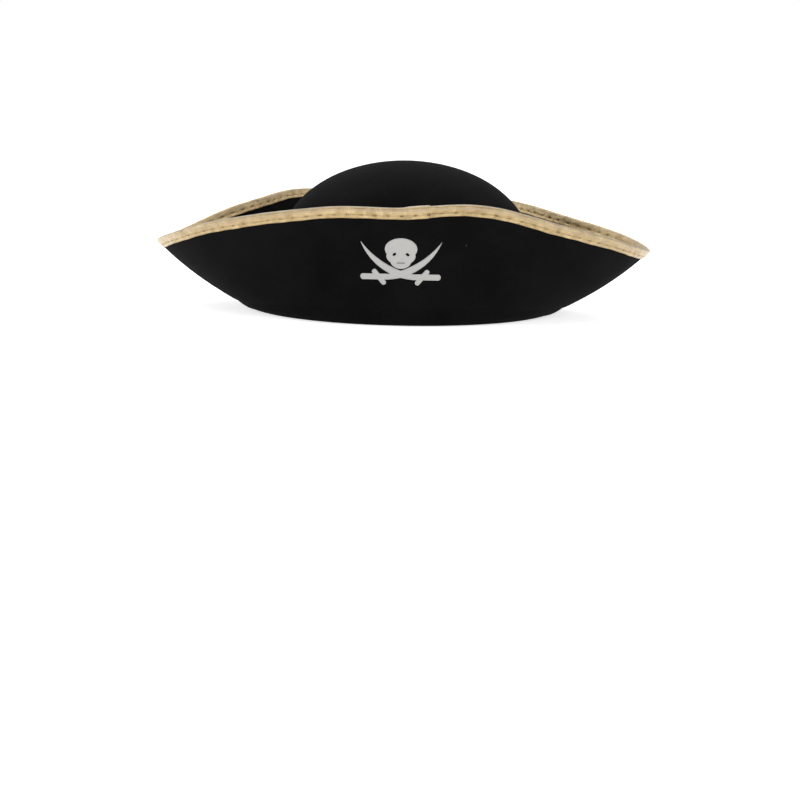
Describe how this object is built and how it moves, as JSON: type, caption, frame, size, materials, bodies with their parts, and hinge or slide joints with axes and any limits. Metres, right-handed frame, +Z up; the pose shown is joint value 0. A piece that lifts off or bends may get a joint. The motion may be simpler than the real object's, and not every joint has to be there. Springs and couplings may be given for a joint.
{
  "type": "pirate hat",
  "caption": "Black moulded felt pirate hat with a domed crown, a brim turned up in three lobes, a gold taped edge and a light skull and crossed sabres printed on the front",
  "frame": {"origin": "centre of the head opening, in the plane of the brim's lower fold that the hat rests on", "axes": "+Z up out of the crown, -Y out of the printed front, +X to the right of a viewer who looks at the front"},
  "size_m": [0.3519, 0.2966, 0.106],
  "materials": {
    "felt": "matte black polyester felt, heat moulded, short brushed nap",
    "gold_tape": "woven metallic gold tape, satin metal shine",
    "gold_thread": "dull gold sewing thread",
    "print": "light grey matte screen print, thin film",
    "band_tape": "black twill tape",
    "black_thread": "black sewing thread",
    "label_satin": "white satin ribbon, blank"
  },
  "bodies": {
    "root": {"crown": "felt", "brim": "felt", "edge_tape": "gold_tape", "tape_stitches_outer": "gold_thread", "tape_stitches_inner": "gold_thread", "emblem_skull": "print", "emblem_sabres": "print", "sweatband": "band_tape", "sweatband_stitches": "black_thread", "care_label": "label_satin"}
  },
  "joints": []
}
